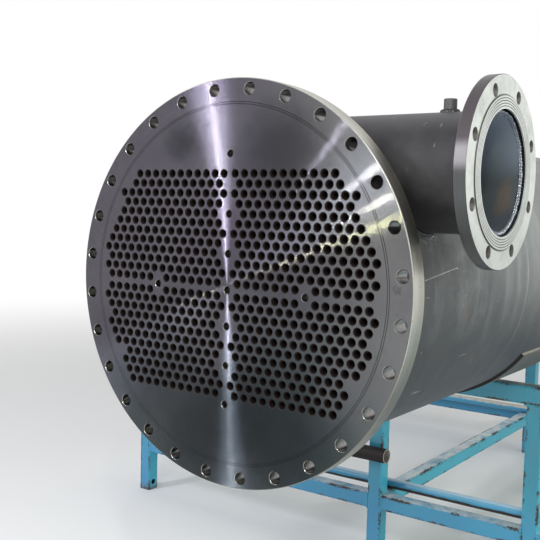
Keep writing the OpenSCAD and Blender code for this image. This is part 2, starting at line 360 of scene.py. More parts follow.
class Recipe(Graph):
    """A Geometry Nodes tree with named inputs, run on a mesh of points or paths."""

    kinds = {int: "NodeSocketInt", float: "NodeSocketFloat", Material: "NodeSocketMaterial"}

    def __init__(self, name, **inputs):
        super().__init__(bpy.data.node_groups.new(name, "GeometryNodeTree"))
        add = self.tree.interface.new_socket
        add("Geometry", in_out="INPUT", socket_type="NodeSocketGeometry")
        self.keys = {}
        for label, kind in inputs.items():
            socket = add(label.replace("_", " "), in_out="INPUT", socket_type=self.kinds[kind])
            self.keys[label] = socket.identifier
        add("Geometry", in_out="OUTPUT", socket_type="NodeSocketGeometry")
        entry = self.tree.nodes.new("NodeGroupInput")
        self.given = {socket.name: Term(self, socket) for socket in entry.outputs if socket.name}

    def attribute(self, name, kind="FLOAT"):
        return self.node("GeometryNodeInputNamedAttribute", {"data_type": kind}, {"Name": name})

    def stored(self, geometry, name, value, kind="FLOAT", domain="POINT"):
        settings = {"data_type": kind, "domain": domain}
        return self.step("StoreNamedAttribute", geometry, settings, Name=name, Value=value)

    def step(self, kind, geometry, settings=None, **sockets):
        """A node that changes geometry; its other sockets' names have underscores for spaces."""
        named = {name.replace("_", " "): value for name, value in sockets.items()}
        return self.node("GeometryNode" + kind, settings, {0: geometry, **named})

    def coated(self, geometry, material):
        return self.step("SetMaterial", geometry, Material=material)

    def together(self, *parts):
        return self.step("JoinGeometry", list(reversed(parts)))

    def copies(self, points, shape, size=None):
        made = self.step("InstanceOnPoints", points, Instance=shape, Scale=size)
        return self.step("RealizeInstances", made)

    def ring(self, sides, radius):
        sockets = {"Resolution": sides, "Radius": radius}
        return self.node("GeometryNodeCurvePrimitiveCircle", {}, sockets)

    def moved(self, geometry, z):
        return self.step("Transform", geometry, Translation=self.joined(0, 0, z))

    def merged(self, geometry):
        return self.step("MergeByDistance", geometry, Distance=1e-5)

    def end(self, geometry):
        leave = self.tree.nodes.new("NodeGroupOutput")
        self.plug(leave.inputs[0], geometry)
        return self

    def mesh(self, source, **values):
        """The plain mesh that the tree makes from a source mesh."""
        carrier = link("carrier", source)
        modifier = carrier.modifiers.new("recipe", "NODES")
        modifier.node_group = self.tree
        for label, value in values.items():
            modifier[self.keys[label]] = value
        evaluated = carrier.evaluated_get(bpy.context.evaluated_depsgraph_get())
        made = bpy.data.meshes.new_from_object(evaluated)
        if made.materials and made.materials[0] is None:
            made.materials.pop(index=0)
        bpy.data.objects.remove(carrier)
        return made


def plain_mesh(points, edges=(), faces=()):
    mesh = bpy.data.meshes.new("plain_mesh")
    mesh.from_pydata(points, edges, faces)
    return mesh


def path_mesh(loops):
    """A mesh of closed edge paths, one for each list of points."""
    points = []
    edges = []
    for loop in loops:
        start = len(points)
        points.extend(loop)
        edges.extend((start + i, start + (i + 1) % len(loop)) for i in range(len(loop)))
    return plain_mesh(points, edges=edges)


def circle(radius, count, shift=0):
    """Points spaced evenly on a circle round the origin, the first of them shift steps on."""
    turns = [2 * math.pi * (i + shift) / count for i in range(count)]
    return [(radius * math.cos(a), radius * math.sin(a)) for a in turns]


def circle_x(x, y, radius):
    """Points on a circle round a nozzle's axis."""
    return [(x, y + u, nozzle_z + v) for u, v in circle(radius, 96)]


def row_z(side, row):
    return -lane_drop + side * (lane_gap / 2 + row * row_step)


def tie_spots():
    rows = [(0.0, row_z(side, row)) for side, row in tie_rows]
    return rows + [(x, -lane_drop) for x in (-tie_side, 0.0, tie_side)]


def tube_spots():
    """Tube centres on a triangular pitch, left out near the tie rods."""
    ties = tie_spots()
    spots = []
    for side, rows in ((1, rows_above), (-1, rows_below)):
        for row in range(rows):
            for column in range(int(field_r / tube_pitch) + 1):
                x = first_column + (tube_pitch / 2 if row % 2 == 0 else 0) + tube_pitch * column
                z = row_z(side, row)
                clear = min(math.dist((x, z), tie) for tie in ties) > tie_land
                if math.hypot(x, z) <= field_r and clear and (side, row, column) not in left_out:
                    spots.extend([(x, z), (-x, z)])
    return spots


def bolt_spots(count, radius):
    return [(v, u) for u, v in circle(radius, count, 0.5)]


def plate_recipe():
    """A round plate with bevelled holes at the source's points, whose bore attribute is a radius."""
    recipe = Recipe(
        "drilled_plate", Radius=float, Thickness=float, Bevel=float, Hole_Bevel=float,
        Rim_Sides=int, Hole_Sides=int, Face=Material, Bore=Material, Rim=Material,
    )
    given = recipe.given
    bore = recipe.attribute("bore")
    thickness = given["Thickness"]
    position = recipe.node("GeometryNodeInputPosition")
    spots = recipe.stored(given["Geometry"], "centre", position, "FLOAT_VECTOR")

    outline = recipe.ring(given["Rim Sides"], given["Radius"] - given["Bevel"])
    mouths = recipe.copies(spots, recipe.ring(given["Hole Sides"], 1), bore + given["Hole Bevel"])
    face = recipe.step("FillCurve", recipe.together(outline, mouths))
    back = recipe.step("FlipFaces", recipe.moved(face, 0 - thickness))
    faces = recipe.coated(recipe.together(face, back), given["Face"])

    def wall(sides):
        sockets = {"Vertices": sides, "Side Segments": 3, "Radius": 1, "Depth": 2}
        tube = recipe.node("GeometryNodeMeshCylinder", {"fill_type": "NONE"}, sockets)
        return recipe.stored(tube, "shape", position, "FLOAT_VECTOR")

    shape = recipe.attribute("shape", "FLOAT_VECTOR")
    level = recipe.parts(shape)[2]
    outer = abs(level) > 0.5
    around = recipe.vector("MULTIPLY", shape, (1, 1, 0))

    def settled(geometry, radius, bevel, widening):
        """Turns a unit tube into a wall with bevelled mouths, round the stored centre."""
        half = thickness / 2
        rise = recipe.math("SIGN", level) * (half - (1 - outer) * bevel) - half
        reach = recipe.scaled(around, radius + outer * bevel * widening)
        centre = recipe.attribute("centre", "FLOAT_VECTOR")
        spot = recipe.vector("ADD", recipe.vector("ADD", centre, reach), recipe.joined(0, 0, rise))
        return recipe.step("SetPosition", geometry, Position=spot)

    bores = settled(recipe.copies(spots, wall(given["Hole Sides"])), bore, given["Hole Bevel"], 1)
    bores = recipe.stored(recipe.step("FlipFaces", bores), "wall", bore, "FLOAT", "FACE")
    rim = settled(wall(given["Rim Sides"]), given["Radius"], given["Bevel"], -1)
    walls = (recipe.coated(bores, given["Bore"]), recipe.coated(rim, given["Rim"]))
    whole = recipe.step("SetShadeSmooth", recipe.merged(recipe.together(faces, *walls)))
    ends = recipe.node("GeometryNodeInputMeshEdgeVertices")
    heights = [recipe.parts(ends.sibling(name))[2] for name in ("Position 1", "Position 2")]
    level_edge = abs(heights[0] - heights[1]) < 1e-5
    return recipe.end(recipe.stored(whole, "sharp_edge", level_edge, "BOOLEAN", "EDGE"))


def bead_recipe():
    """A rippled weld bead along the source's edges."""
    recipe = Recipe(
        "weld_bead", Radius=float, Step=float, Ripple=float, Wander=float, Steel=Material
    )
    given = recipe.given
    position = recipe.node("GeometryNodeInputPosition")
    curve = recipe.step("MeshToCurve", given["Geometry"])
    curve = recipe.step("ResampleCurve", curve, {"mode": "LENGTH"}, Length=given["Step"] / 4)
    drift = recipe.noise(position, 0.02, 2)
    aside = recipe.vector("SUBTRACT", drift.sibling("Color"), (0.5, 0.5, 0.5))
    curve = recipe.step("SetPosition", curve, Offset=recipe.scaled(aside, given["Wander"]))
    length = recipe.node("GeometryNodeSplineParameter", {}, {}, "Length")
    wave = recipe.math("SINE", length / given["Step"] * (2 * math.pi))
    size = 1 + wave * given["Ripple"] + (drift - 0.5) * 0.5
    profile = recipe.ring(8, given["Radius"])
    bead = recipe.step("CurveToMesh", curve, Profile_Curve=profile, Scale=size, Fill_Caps=True)
    return recipe.end(recipe.coated(recipe.step("SetShadeSmooth", bead), given["Steel"]))


def tube_recipe():
    """Open tubes at the source's points, sunk a little behind the face."""
    recipe = Recipe(
        "tube_bundle", Outer_Radius=float, Inner_Radius=float, Recess=float, Length=float,
        Sides=int, Steel=Material,
    )
    given = recipe.given
    rings = [recipe.ring(given["Sides"], given[label]) for label in ("Outer Radius", "Inner Radius")]
    end = recipe.step("FillCurve", recipe.together(*rings))
    end = recipe.moved(end, 0 - given["Recess"])
    far = recipe.step("FlipFaces", end)
    run = recipe.joined(0, 0, 2 * given["Recess"] - given["Length"])
    far = recipe.step("ExtrudeMesh", far, {"mode": "FACES"}, Offset=run, Individual=False)
    tubes = recipe.copies(given["Geometry"], recipe.merged(recipe.together(end, far)))
    return recipe.end(recipe.coated(tubes, given["Steel"]))


def piece(name, mesh, slot, *stands_for):
    """A finished piece of the object, which rides with it and may stand for its plain solids."""
    made = link(name, mesh)
    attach(made, root)
    if stands_for:
        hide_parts(*stands_for)


def laid(mesh, turn, x, y, z):
    """Turns a mesh drawn round Z and moves it to its place."""
    mesh.transform(Matrix.Translation((x, y, z)) @ turn.to_4x4())
    return mesh


def ring_faces(rings, count):
    """Faces between rings of count points each, the last ring followed by the first."""
    faces = []
    for i in range(rings):
        here = i * count
        there = (i + 1) % rings * count
        for k in range(count):
            after = (k + 1) % count
            faces.append((here + k, there + k, there + after, here + after))
    return faces


def flipped(face):
    """The same face turned round, with the same first corner."""
    return (face[0], *face[:0:-1])


def revolved(profile, sides):
    """A closed solid turned round Z from a closed outline of radius and height."""
    points = [(r * u, r * v, h) for u, v in circle(1, sides) for r, h in profile]
    return plain_mesh(points, faces=ring_faces(sides, len(profile)))


def hollow(outer, inner, length, steps):
    """The closed outline of a pipe's wall, with points along its length."""
    heights = [length * i / steps for i in range(steps + 1)]
    return [(outer, h) for h in heights] + [(inner, h) for h in reversed(heights)]


def disc(radius, length, sides):
    """A cylinder that cuts holes, standing on the ground plane, with a pinhole down its middle."""
    return revolved([(pinhole_r, 0), (radius, 0), (radius, length), (pinhole_r, length)], sides)


def smooth(mesh, limit=crease):
    """Smooth shading, with creases where two faces meet at more than the limit."""
    shape = bmesh.new()
    shape.from_mesh(mesh)
    for edge in shape.edges:
        edge.smooth = len(edge.link_faces) == 2 and edge.calc_face_angle() < limit
    for face in shape.faces:
        face.smooth = True
    shape.to_mesh(mesh)
    shape.free()
    return mesh


def cut(mesh, *cutters):
    """The mesh with the cutters' solids taken away."""
    body = link("body_to_cut", mesh)
    tools = [link("cutter", cutter) for cutter in cutters]
    for tool in tools:
        modifier = body.modifiers.new("cut", "BOOLEAN")
        modifier.operation = "DIFFERENCE"
        modifier.solver = "EXACT"
        modifier.object = tool
    evaluated = body.evaluated_get(bpy.context.evaluated_depsgraph_get())
    made = bpy.data.meshes.new_from_object(evaluated)
    for spare in [body, *tools]:
        bpy.data.objects.remove(spare)
    return made


def marked_points(marks):
    """A mesh of points on the ground plane, each with the radius of its bore."""
    mesh = plain_mesh([(x, y, 0) for (x, y), _ in marks])
    bores = mesh.attributes.new("bore", "FLOAT", "POINT")
    bores.data.foreach_set("value", [radius for _, radius in marks])
    return mesh


def make_tubesheets(recipe, face, bore, rim):
    marks = [(spot, tube_hole_r) for spot in tube_spots()]
    marks += [(spot, tie_hole_r) for spot in tie_spots()]
    marks += [(spot, bolt_hole_r) for spot in bolt_spots(bolt_count, bolt_circle_r)]
    for end, turn, y in (("front", to_front, front_y), ("rear", to_rear, rear_y)):
        mesh = recipe.mesh(
            marked_points(marks), Radius=sheet_r, Thickness=sheet_t, Bevel=rim_bevel,
            Hole_Bevel=hole_bevel, Rim_Sides=256, Hole_Sides=24, Face=face, Bore=bore, Rim=rim,
        )
        laid(mesh, turn, axis_x, y, axis_z)
        piece(end + "_turned_sheet", mesh, "machined_face", end + "_tubesheet")


def make_tubes(steel):
    recipe = tube_recipe()
    for name, side in (("upper", 1), ("lower", -1)):
        here = [(spot, tube_r) for spot in tube_spots() if (spot[1] + lane_drop) * side > 0]
        mesh = recipe.mesh(
            marked_points(here), Outer_Radius=tube_r, Inner_Radius=tube_r - tube_wall,
            Recess=tube_recess, Length=rear_y - front_y, Sides=20, Steel=steel,
        )
        laid(mesh, to_front, axis_x, front_y, axis_z)
        piece(name + "_drawn_tubes", smooth(mesh), "tube_steel", name + "_tubes")


def make_shell(steel):
    length = rear_y - front_y - 2 * sheet_t
    wall = revolved(hollow(shell_r, shell_r - shell_wall, length, 60), shell_sides)
    laid(wall, to_rear, axis_x, front_y + sheet_t, axis_z)
    reach = shell_r + 0.05
    openings = [disc(nozzle_r, reach, nozzle_sides) for y in nozzle_rows]
    openings = [laid(opening, to_side, axis_x, y, nozzle_z) for opening, y in zip(openings, nozzle_rows)]
    wall = cut(wall, *openings)
    wall.materials.append(steel)
    piece("rolled_shell", smooth(wall), "mill_scale", "shell")


def make_nozzle(end, y, recipe, coats):
    """One hillside nozzle: its pipe, flange, raised face and vent coupling."""
    vent_place = (nozzle_face_x - vent_setback, y, nozzle_z)
    length = nozzle_face_x - axis_x - pipe_setback
    pipe = revolved(hollow(nozzle_r, nozzle_r - nozzle_wall, length, 12), nozzle_sides)
    laid(pipe, to_side, axis_x, y, nozzle_z)
    inside = disc(shell_r - shell_wall, cutter_length, shell_sides)
    laid(inside, to_rear, axis_x, y - cutter_length / 2, axis_z)
    pipe = cut(pipe, inside, laid(disc(vent_bore_r, 0.3, 32), upright, *vent_place))
    pipe.materials.append(coats["pipe"])
    piece(end + "_rolled_pipe", smooth(pipe), "nozzle_steel", end + "_pipe")

    marks = [(spot, flange_hole_r) for spot in bolt_spots(flange_bolts, flange_circle_r)]
    marks.append(((0, 0), flange_bore_r))
    plate = recipe.mesh(
        marked_points(marks), Radius=flange_r, Thickness=flange_t - raised_h, Bevel=flange_bevel,
        Hole_Bevel=hole_bevel, Rim_Sides=flange_sides, Hole_Sides=96,
        Face=coats["face"], Bore=coats["bore"], Rim=coats["edge"],
    )
    laid(plate, to_side, nozzle_face_x - raised_h, y, nozzle_z)
    piece(end + "_turned_flange", plate, "flange_steel", end + "_flange")

    outline = [
        (flange_bore_r, -raised_root), (raised_r, -raised_root),
        (raised_r, raised_h - raised_bevel), (raised_r - raised_bevel, raised_h),
    ]
    for i in range(groove_count, 0, -1):
        middle = flange_bore_r + i * groove_land
        outline += [
            (middle + groove_depth, raised_h),
            (middle, raised_h - groove_depth),
            (middle - groove_depth, raised_h),
        ]
    outline.append((flange_bore_r, raised_h))
    raised = laid(revolved(outline, flange_sides), to_side, nozzle_face_x - raised_h, y, nozzle_z)
    raised.materials.append(coats["face"])
    piece(end + "_raised_face", smooth(raised), "flange_steel")

    top = nozzle_r + vent_h
    outline = [
        (vent_bore_r, 0), (vent_r, 0), (vent_r, top - vent_bevel),
        (vent_r - vent_bevel, top), (vent_bore_r, top),
    ]
    coupling = laid(revolved(outline, 40), upright, *vent_place)
    barrel = disc(nozzle_r, cutter_length, nozzle_sides)
    coupling = cut(coupling, laid(barrel, to_side, axis_x - 0.1, y, nozzle_z))
    coupling.materials.append(coats["pipe"])
    piece(end + "_coupling", smooth(coupling), "nozzle_steel", end + "_vent")


def saddle(y):
    """Where a nozzle meets the shell, a little off both."""
    reach = shell_r + weld_lift / 2
    rise = nozzle_z - axis_z
    return [
        (axis_x + math.sqrt(reach ** 2 - (rise + v) ** 2), y + u, nozzle_z + v)
        for u, v in circle(nozzle_r + weld_lift, 120)
    ]


def vent_foot(y):
    """Where a vent coupling meets the nozzle pipe."""
    x = nozzle_face_x - vent_setback
    return [
        (x + u, y + v, nozzle_z + math.sqrt(nozzle_r ** 2 - v ** 2))
        for u, v in circle(vent_r + vent_weld_lift, 32)
    ]


def make_welds(recipe, coats):
    """Beads where the shell, the nozzles and their couplings are welded."""
    inward = sheet_t + sheet_weld_gap
    ring = circle(shell_r + weld_lift, 192)
    ends = [[(axis_x + u, y, axis_z + v) for u, v in ring] for y in (front_y + inward, rear_y - inward)]
    saddles = [saddle(y) for y in nozzle_rows]
    back_x = nozzle_face_x - flange_t - weld_lift
    backs = [circle_x(back_x, y, nozzle_r + weld_lift) for y in nozzle_rows]
    mouth_x = nozzle_face_x - pipe_setback - mouth_weld_gap
    mouths = [circle_x(mouth_x, y, nozzle_r - mouth_weld_inset) for y in nozzle_rows]
    feet = [vent_foot(y) for y in nozzle_rows]
    # Name, paths, radius of the bead, length of a ripple, and steel
    beads = (
        ("shell_end_welds", ends, 0.005, 0.005, "dull"),
        # The saddle beads take the near-black steel, a painted shade where the nozzle meets the shell
        ("nozzle_saddle_welds", saddles, 0.006, 0.006, "dark"),
        ("flange_back_welds", backs, 0.005, 0.005, "dull"),
        ("flange_bore_welds", mouths, 0.005, 0.006, "bright"),
        ("vent_welds", feet, 0.0055, 0.005, "dull"),
    )
    for name, paths, radius, step, steel in beads:
        mesh = recipe.mesh(
            path_mesh(paths), Radius=radius, Step=step, Ripple=0.12, Wander=0.0015, Steel=coats[steel]
        )
        piece(name, mesh, "mill_scale")


def placed(along, level, u, v):
    """A point at a level along one axis, and at u and v along the next two."""
    point = [level] * 3
    point[along - 2] = u
    point[along - 1] = v
    return point


class Build:
    """Points, faces and wear of one mesh that is put together from several tubes."""

    def __init__(self):
        self.points = []
        self.faces = []
        self.wear = []

    def tube(self, low, high, along, rings, wall_rings, edge=0.004):
        """A tube between two corners: rings and wall_rings are its outer and inner outlines."""
        middle = (low + high) / 2
        start = len(self.points)
        ends = (low[along], high[along])
        sections = [
            (rings, ends[0], 1.0), (rings, ends[0] + edge, 0.0),
            (rings, ends[1] - edge, 0.0), (rings, ends[1], 1.0),
            (wall_rings, ends[1], 1.0), (wall_rings, ends[0], 1.0),
        ]
        for outline, level, end_wear in sections:
            for u, v, wear in outline:
                point = placed(along, level, middle[along - 2] + u, middle[along - 1] + v)
                self.points.append(point)
                self.wear.append(max(wear, end_wear))
        for face in ring_faces(len(sections), len(rings)):
            self.faces.append([start + k for k in flipped(face)])

    def bar(self, low, high, along):
        """A square tube with rounded corners that fills a box."""
        size = high - low
        width, depth = size[along - 2], size[along - 1]
        inside = rounded(width - 2 * bar_wall, depth - 2 * bar_wall, corner_r - bar_wall)
        self.tube(low, high, along, rounded(width, depth, corner_r), inside)

    def mesh(self, material):
        made = plain_mesh(self.points, faces=self.faces)
        wear = made.attributes.new("wear", "FLOAT", "POINT")
        wear.data.foreach_set("value", self.wear)
        made.materials.append(material)
        return smooth(made, bar_crease)


def rounded(width, depth, corner):
    """A rounded rectangle as (x, y, wear), with points beside the corners where the wear ends."""
    outline = []
    for turn, (sx, sy) in enumerate(((1, 1), (-1, 1), (-1, -1), (1, -1))):
        x = sx * (width / 2 - corner)
        y = sy * (depth / 2 - corner)
        arc = [(math.pi / 2 * (turn + i / corner_steps), 0, 1.0) for i in range(corner_steps + 1)]
        arc = [(arc[0][0], -wear_width, 0.0), *arc, (arc[-1][0], wear_width, 0.0)]
        for a, slide, wear in arc:
            across = x + corner * math.cos(a) - slide * math.sin(a)
            outline.append((across, y + corner * math.sin(a) + slide * math.cos(a), wear))
    return outline


def round_outline(radius):
    return [(u, v, 0.25) for u, v in circle(radius, 40)]


def make_stand(paint, rails, brown):
    """Rolled square and round tubes, each standing for its plain solid."""
    names = [n for n in nodes if any(word in n for word in ("post", "beam", "stop", "long_rail"))]
    for name in sorted(names):
        low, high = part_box(name)
        build = Build()
        build.bar(low, high, 2 if "post" in name or "stop" in name else 0 if "beam" in name else 1)
        mesh = build.mesh(paint)
        if name.endswith("post_1"):
            place = (high.x - 0.01, (low.y + high.y) / 2, foot_hole_z)
            mesh = smooth(cut(mesh, laid(disc(foot_hole_r, 0.02, 32), to_side, *place)), bar_crease)
        piece("painted_" + name, mesh, "blue_paint", name)
    for row in ("front", "rear"):
        low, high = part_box(row + "_lower_rails")
        build = Build()
        legs = [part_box(f"{row}_post_{i}") for i in range(1, 7)]
        legs = [box for box in legs if box[0].z < floor_level]
        for before, after in zip(legs, legs[1:]):
            left = Vector((before[1].x, low.y, low.z))
            right = Vector((after[0].x, high.y, high.z))
            build.bar(left, right, 0)
        piece(f"painted_{row}_lower_rails", build.mesh(paint), "blue_paint", row + "_lower_rails")
        rail(row + "_round_rail", rails[row], "blue_paint")
    rail("cross_pipe", brown, "brown_pipe")


def rail(name, material, slot):
    low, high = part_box(name)
    radius = (high.y - low.y) / 2
    build = Build()
    build.tube(low, high, 0, round_outline(radius), round_outline(radius - round_wall), 0.002)
    piece("worn_" + name, build.mesh(material), slot, name)


def square_loop(low, high, along, level):
    """The outline of a square tube at one level along it, as a closed path."""
    corners = ((low, low), (high, low), (high, high), (low, high))
    return [placed(along, level, first[along - 2], second[along - 1]) for first, second in corners]


def make_stand_welds(recipe, steel):
    """Beads round each rail where it meets a post, and round each post under its beam."""
    loops = []
    for row in ("front", "rear"):
        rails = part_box(row + "_lower_rails")
        beam_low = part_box(row + "_top_beam")[0]
        for i in range(1, 7):
            low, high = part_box(f"{row}_post_{i}")
            loops.append(square_loop(low, high, 2, beam_low.z))
            if low.z > floor_level:
                loops.append(square_loop(low, high, 2, low.z))
                continue
            if i > 1:
                loops.append(square_loop(*rails, 0, low.x))
            if i < 6:
                loops.append(square_loop(*rails, 0, high.x))
    for low, high in (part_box(name) for name in sorted(nodes) if name.startswith("long_rail")):
        loops.append(square_loop(low, high, 1, low.y))
        loops.append(square_loop(low, high, 1, high.y))
    mesh = recipe.mesh(
        path_mesh(loops), Radius=0.0028, Step=0.005, Ripple=0.2, Wander=0.002, Steel=steel
    )
    wear = mesh.attributes.new("wear", "FLOAT", "POINT")
    wear.data.foreach_set("value", [0.35] * len(mesh.vertices))
    piece("stand_welds", mesh, "blue_paint")


def make_pad(end, steel):
    """A plate rolled to the shell, from one side of the bottom to the other."""
    low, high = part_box(end + "_wear_pad")
    outer = shell_r + pad_t
    side = [(shell_r, 0), (outer - pad_bevel, 0), (outer, pad_bevel)]
    outline = [(r, low.y + inset, inset) for r, inset in side]
    outline += [(r, high.y - inset, inset) for r, inset in reversed(side)]
    steps = 48
    points = []
    for i in range(steps + 1):
        a = math.radians(pad_wrap) * (i / steps - 0.5) - math.pi / 2
        end_side = 1 if i == steps else -1 if i == 0 else 0
        for r, y, inset in outline:
            lean = a - end_side * inset / r
            points.append((axis_x + r * math.cos(lean), y, axis_z + r * math.sin(lean)))
    count = len(outline)
    faces = [flipped(face) for face in ring_faces(steps + 1, count)[:-count]]
    last = steps * count
    for k in (0, 1):
        cap = (k, k + 1, count - 2 - k, count - 1 - k)
        faces += [cap, tuple(last + j for j in reversed(cap))]
    mesh = plain_mesh(points, faces=faces)
    mesh.materials.append(steel)
    piece(end + "_rolled_pad", smooth(mesh), "pad_steel", end + "_wear_pad")


def turned_face():
    """Dark lathe-turned steel: fine rings, two scribed circles, stains, a painted teal shade towards the
    bottom right, a painted paler right side and painted dark reflections in patches.
    """
    coat = Finish("turned_face", (0.1, 0.09, 0.115), 1.0, 0.1)
    distance, outward = coat.round_axis(axis_x, axis_z)
    smudge = coat.blobs(0.16, 5, 0.6)
    stain = coat.blobs(0.03, 4, 0.6)
    aside = coat.across - axis_x
    height = coat.up - axis_z
    # Painted shade: darker and teal towards the bottom right
    coat.cover((aside * 0.4 - height).between(-0.1, 0.3), (0.05, 0.068, 0.072))
    # Painted light: paler towards the right
    coat.cover((aside + height * 0.4).between(0.1, 0.4), (0.2, 0.2, 0.205))
    coat.cover(smudge.between(0.35, 0.7) * 0.5, (0.14, 0.135, 0.15))
    coat.cover(stain.between(0.6, 0.75) * 0.4, (0.05, 0.045, 0.05))
    # Each painted dark reflection: place from the middle, reach and depth
    for x, z, reach, depth in (
        (-0.121, 0.275, 0.09, 0.7), (0.12, 0.26, 0.16, 0.65), (0.12, -0.27, 0.23, 0.85),
        (-0.06, -0.31, 0.2, 0.85), (0.02, -0.24, 0.15, 0.9), (-0.17, -0.2, 0.2, 0.5),
    ):
        gap = coat.round_axis(axis_x + x, axis_z + z)[0]
        patch = 1 - (gap + stain * 0.05).between(reach * 0.25, reach)
        coat.cover(patch * depth, (0.02, 0.024, 0.027))
    for radius in scribe_r:
        scribe = 1 - abs(distance - radius).between(0.0005, 0.0011)
        coat.cover(scribe * 0.7, (0.015, 0.015, 0.017))
    groove = coat.math("PINGPONG", distance, lathe_pitch) / lathe_pitch * 2 - 1
    ring = coat.lines(distance, 0.004) - 0.5
    lean = coat.scaled(outward, (groove + ring * 0.15) * lathe_lean)
    normal = coat.vector("NORMALIZE", coat.vector("ADD", coat.normal(), lean))
    return coat.done(Roughness=0.07 + smudge * 0.07, Normal=normal)


def turned_rim():
    """Bright turned edge of a tubesheet, with painted shade towards its rear and low down, and spots of
    rust.
    """
    coat = Finish("turned_rim", (0.6, 0.59, 0.54), 1.0, 0.3)
    grooves = coat.lines(coat.along, 0.0012)
    rust = coat.blobs(0.012).between(0.62, 0.7) * 0.5
    # Painted shade: darker and olive towards the rear of the rim
    behind = -front_y - abs(coat.along)
    coat.cover(behind.between(0.008, 0.03), (0.46, 0.445, 0.38))
    # Painted shade: darker brown low down
    coat.cover((coat.up - axis_z).between(0, -0.2) * 0.9, (0.15, 0.14, 0.11))
    coat.cover(grooves * 0.4, (0.3, 0.29, 0.27))
    coat.cover(rust, (0.3, 0.2, 0.12))
    return coat.done(Roughness=0.3 + rust * 0.4, Normal=coat.bump(grooves, 0.0002))


def drilled_steel():
    """Drilled walls: painted near-black shade where a tube goes in, duller in the flanges, with painted
    shade in a flange's bore.
    """
    coat = Finish("drilled_steel", (0.2, 0.195, 0.19), 1.0, 0.25)
    grooves = coat.lines(coat.along, 0.0015)
    bore = coat.attribute("wall")
    shaded_tube_bore = abs(bore - tube_hole_r) < 0.0003
    dull = abs(bore - flange_hole_r) < 0.0003
    coat.cover(grooves, (0.36, 0.35, 0.33))
    # Painted shade: the bores that hold tubes are near-black
    coat.cover(shaded_tube_bore, (0.013, 0.01, 0.011))
    coat.cover(dull * 0.5, (0.08, 0.08, 0.085))
    # Painted shade inside a flange's bore
    coat.cover(bore > flange_bore_r / 2, (0.05, 0.052, 0.055))
    metallic = 1 - shaded_tube_bore * 0.9 - dull * 0.35
    rough = 0.22 + (shaded_tube_bore + dull) * 0.4
    return coat.done(Metallic=metallic, Roughness=rough, Normal=coat.bump(grooves, 0.0002))


def drawn_tube():
    """Dark brown drawn tubes."""
    coat = Finish("drawn_tube", (0.009, 0.006, 0.007), 0.3, 0.6, 0.15)
    coat.cover(coat.blobs(0.02), (0.024, 0.016, 0.015))
    return coat.done()


def mill_scale():
    """Grey rolled plate with soft streaks, seams, scratches, pale specks, a little rust, painted light
    on its upper middle and painted shade low down and near its ends.
    """
    coat = Finish("mill_scale", (0.075, 0.079, 0.083), 0.5, 0.5)
    along = abs(coat.along)
    height = coat.up - axis_z
    cloud = coat.blobs(0.35, 5, 0.6)
    streak = coat.blobs(0.05, 4, 0.6, (1, 1, 0.12))
    blot = coat.blobs(0.09, 5, 0.65)
    coat.cover(cloud.between(0.3, 0.7), (0.135, 0.14, 0.144))
    coat.cover(streak.between(0.48, 0.7) * 0.42, (0.28, 0.29, 0.295))
    coat.cover(blot.between(0.5, 0.6) * 0.5, (0.06, 0.059, 0.068))
    coat.cover(blot.between(0.47, 0.36) * 0.4, (0.21, 0.22, 0.22))
    seam = 1 - abs(along - seam_y + (streak - 0.5) * 0.004).between(0.002, 0.007)
    coat.cover(seam * streak.between(0.3, 0.55) * 0.8, (0.34, 0.35, 0.34))
    # Painted light: a lighter band on the upper shell beyond the front end
    above = height.between(-0.2, 0.02) * coat.along.between(front_y + 0.3, front_y + 0.8)
    coat.cover(above * (streak * 0.8 + 0.1), (0.3, 0.31, 0.315))
    # Painted shade: darker low on the shell and towards its ends
    under = height.between(0.08, -0.2) * 0.8
    near_end = (along - cloud * 0.3).between(1.35, 1.85) * 0.4
    coat.cover(under + near_end, (0.045, 0.046, 0.052))
    coat.cover(coat.blobs(0.12, 6, 0.7).between(0.6, 0.72) * 0.3, (0.2, 0.14, 0.1))
    scratch = coat.blobs(0.012, 2, 0.5, (1, 0.08, 1)).between(0.72, 0.75) * 0.35
    start = (axis_x + 0.347, front_y + 0.138, axis_z + 0.026)
    end = (axis_x + 0.3455, front_y + 0.284, axis_z + 0.043)
    coat.cover(scratch + coat.scratch(start, end, 0.0016) * 0.6, (0.5, 0.5, 0.49))
    speck = coat.blobs(0.006, 1, 0.4).between(0.78, 0.82) * 0.5
    distance = coat.round_nozzle()[2]
    ring = (coat.across > axis_x) * (1 - distance.between(nozzle_r, nozzle_r + 0.045))
    spatter = (coat.blobs(0.0045, 1, 0.4) + ring * 0.1).between(0.74, 0.76)
    coat.cover(speck + spatter * ring, (0.78, 0.78, 0.76))
    normal = coat.bump(coat.blobs(0.004) + streak, 0.0004)
    return coat.done(Roughness=0.4 + streak * 0.25, Normal=normal)


